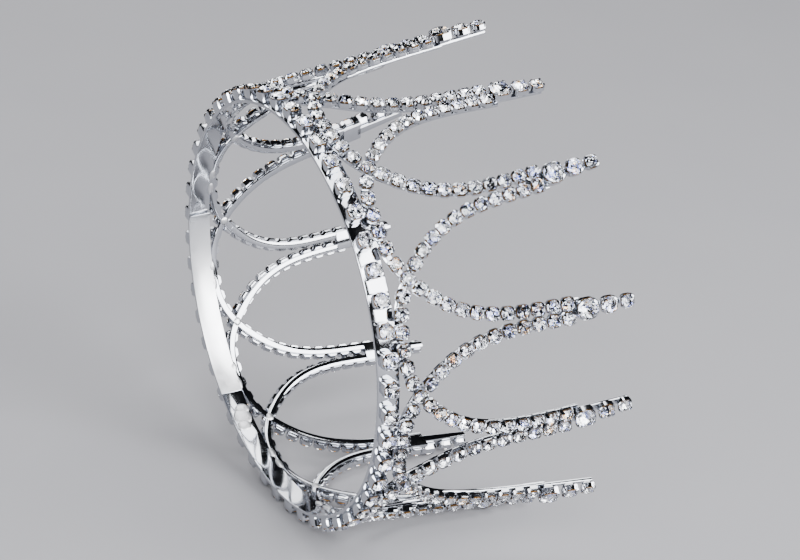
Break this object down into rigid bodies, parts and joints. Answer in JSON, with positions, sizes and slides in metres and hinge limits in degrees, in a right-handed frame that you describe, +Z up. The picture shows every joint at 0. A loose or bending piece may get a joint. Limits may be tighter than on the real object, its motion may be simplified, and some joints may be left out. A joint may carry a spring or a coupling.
{
  "type": "pageant crown",
  "caption": "Round pageant crown lying on its side, with a claw-set stone band and crossing jewelled strands that rise in pairs to stone-tipped prongs.",
  "frame": {"origin": "on the floor, under the middle of the crown's box as it lies on its side", "axes": "+Z up from the floor; +X from the band towards the prongs' tips; +Y along the floor, so that X, Y and Z are right-handed"},
  "size_m": [0.0906, 0.1522, 0.1475],
  "materials": {
    "plated_metal": "polished rhodium-coloured plating on white metal",
    "cup_chain": "plated cup chain of small claw-set crystals",
    "crystal": "cut clear crystal with a foiled back"
  },
  "bodies": {
    "root": {"base_band": "plated_metal", "band_stones": "crystal", "lower_chain": "cup_chain", "small_tip_stones": "crystal", "prong_1": "plated_metal", "prong_2": "plated_metal", "prong_3": "plated_metal", "prong_4": "plated_metal", "prong_5": "plated_metal", "prong_6": "plated_metal", "prong_7": "plated_metal", "prong_8": "plated_metal", "prong_9": "plated_metal", "prong_10": "plated_metal", "prong_11": "plated_metal", "prong_12": "plated_metal", "prong_chain_1": "cup_chain", "prong_chain_2": "cup_chain", "prong_chain_3": "cup_chain", "prong_chain_4": "cup_chain", "prong_chain_5": "cup_chain", "prong_chain_6": "cup_chain", "prong_chain_7": "cup_chain", "prong_chain_8": "cup_chain", "prong_chain_9": "cup_chain", "prong_chain_10": "cup_chain", "prong_chain_11": "cup_chain", "prong_chain_12": "cup_chain", "large_tip_stone_1": "crystal", "large_tip_stone_2": "crystal", "large_tip_stone_3": "crystal", "large_tip_stone_4": "crystal", "large_tip_stone_5": "crystal", "large_tip_stone_6": "crystal", "large_tip_stone_7": "crystal", "large_tip_stone_8": "crystal", "large_tip_stone_9": "crystal", "large_tip_stone_10": "crystal", "large_tip_stone_11": "crystal", "large_tip_stone_12": "crystal", "medium_tip_stone_1": "crystal", "medium_tip_stone_2": "crystal", "medium_tip_stone_3": "crystal", "medium_tip_stone_4": "crystal", "medium_tip_stone_5": "crystal", "medium_tip_stone_6": "crystal", "medium_tip_stone_7": "crystal", "medium_tip_stone_8": "crystal", "medium_tip_stone_9": "crystal", "medium_tip_stone_10": "crystal", "medium_tip_stone_11": "crystal", "medium_tip_stone_12": "crystal"}
  },
  "joints": []
}
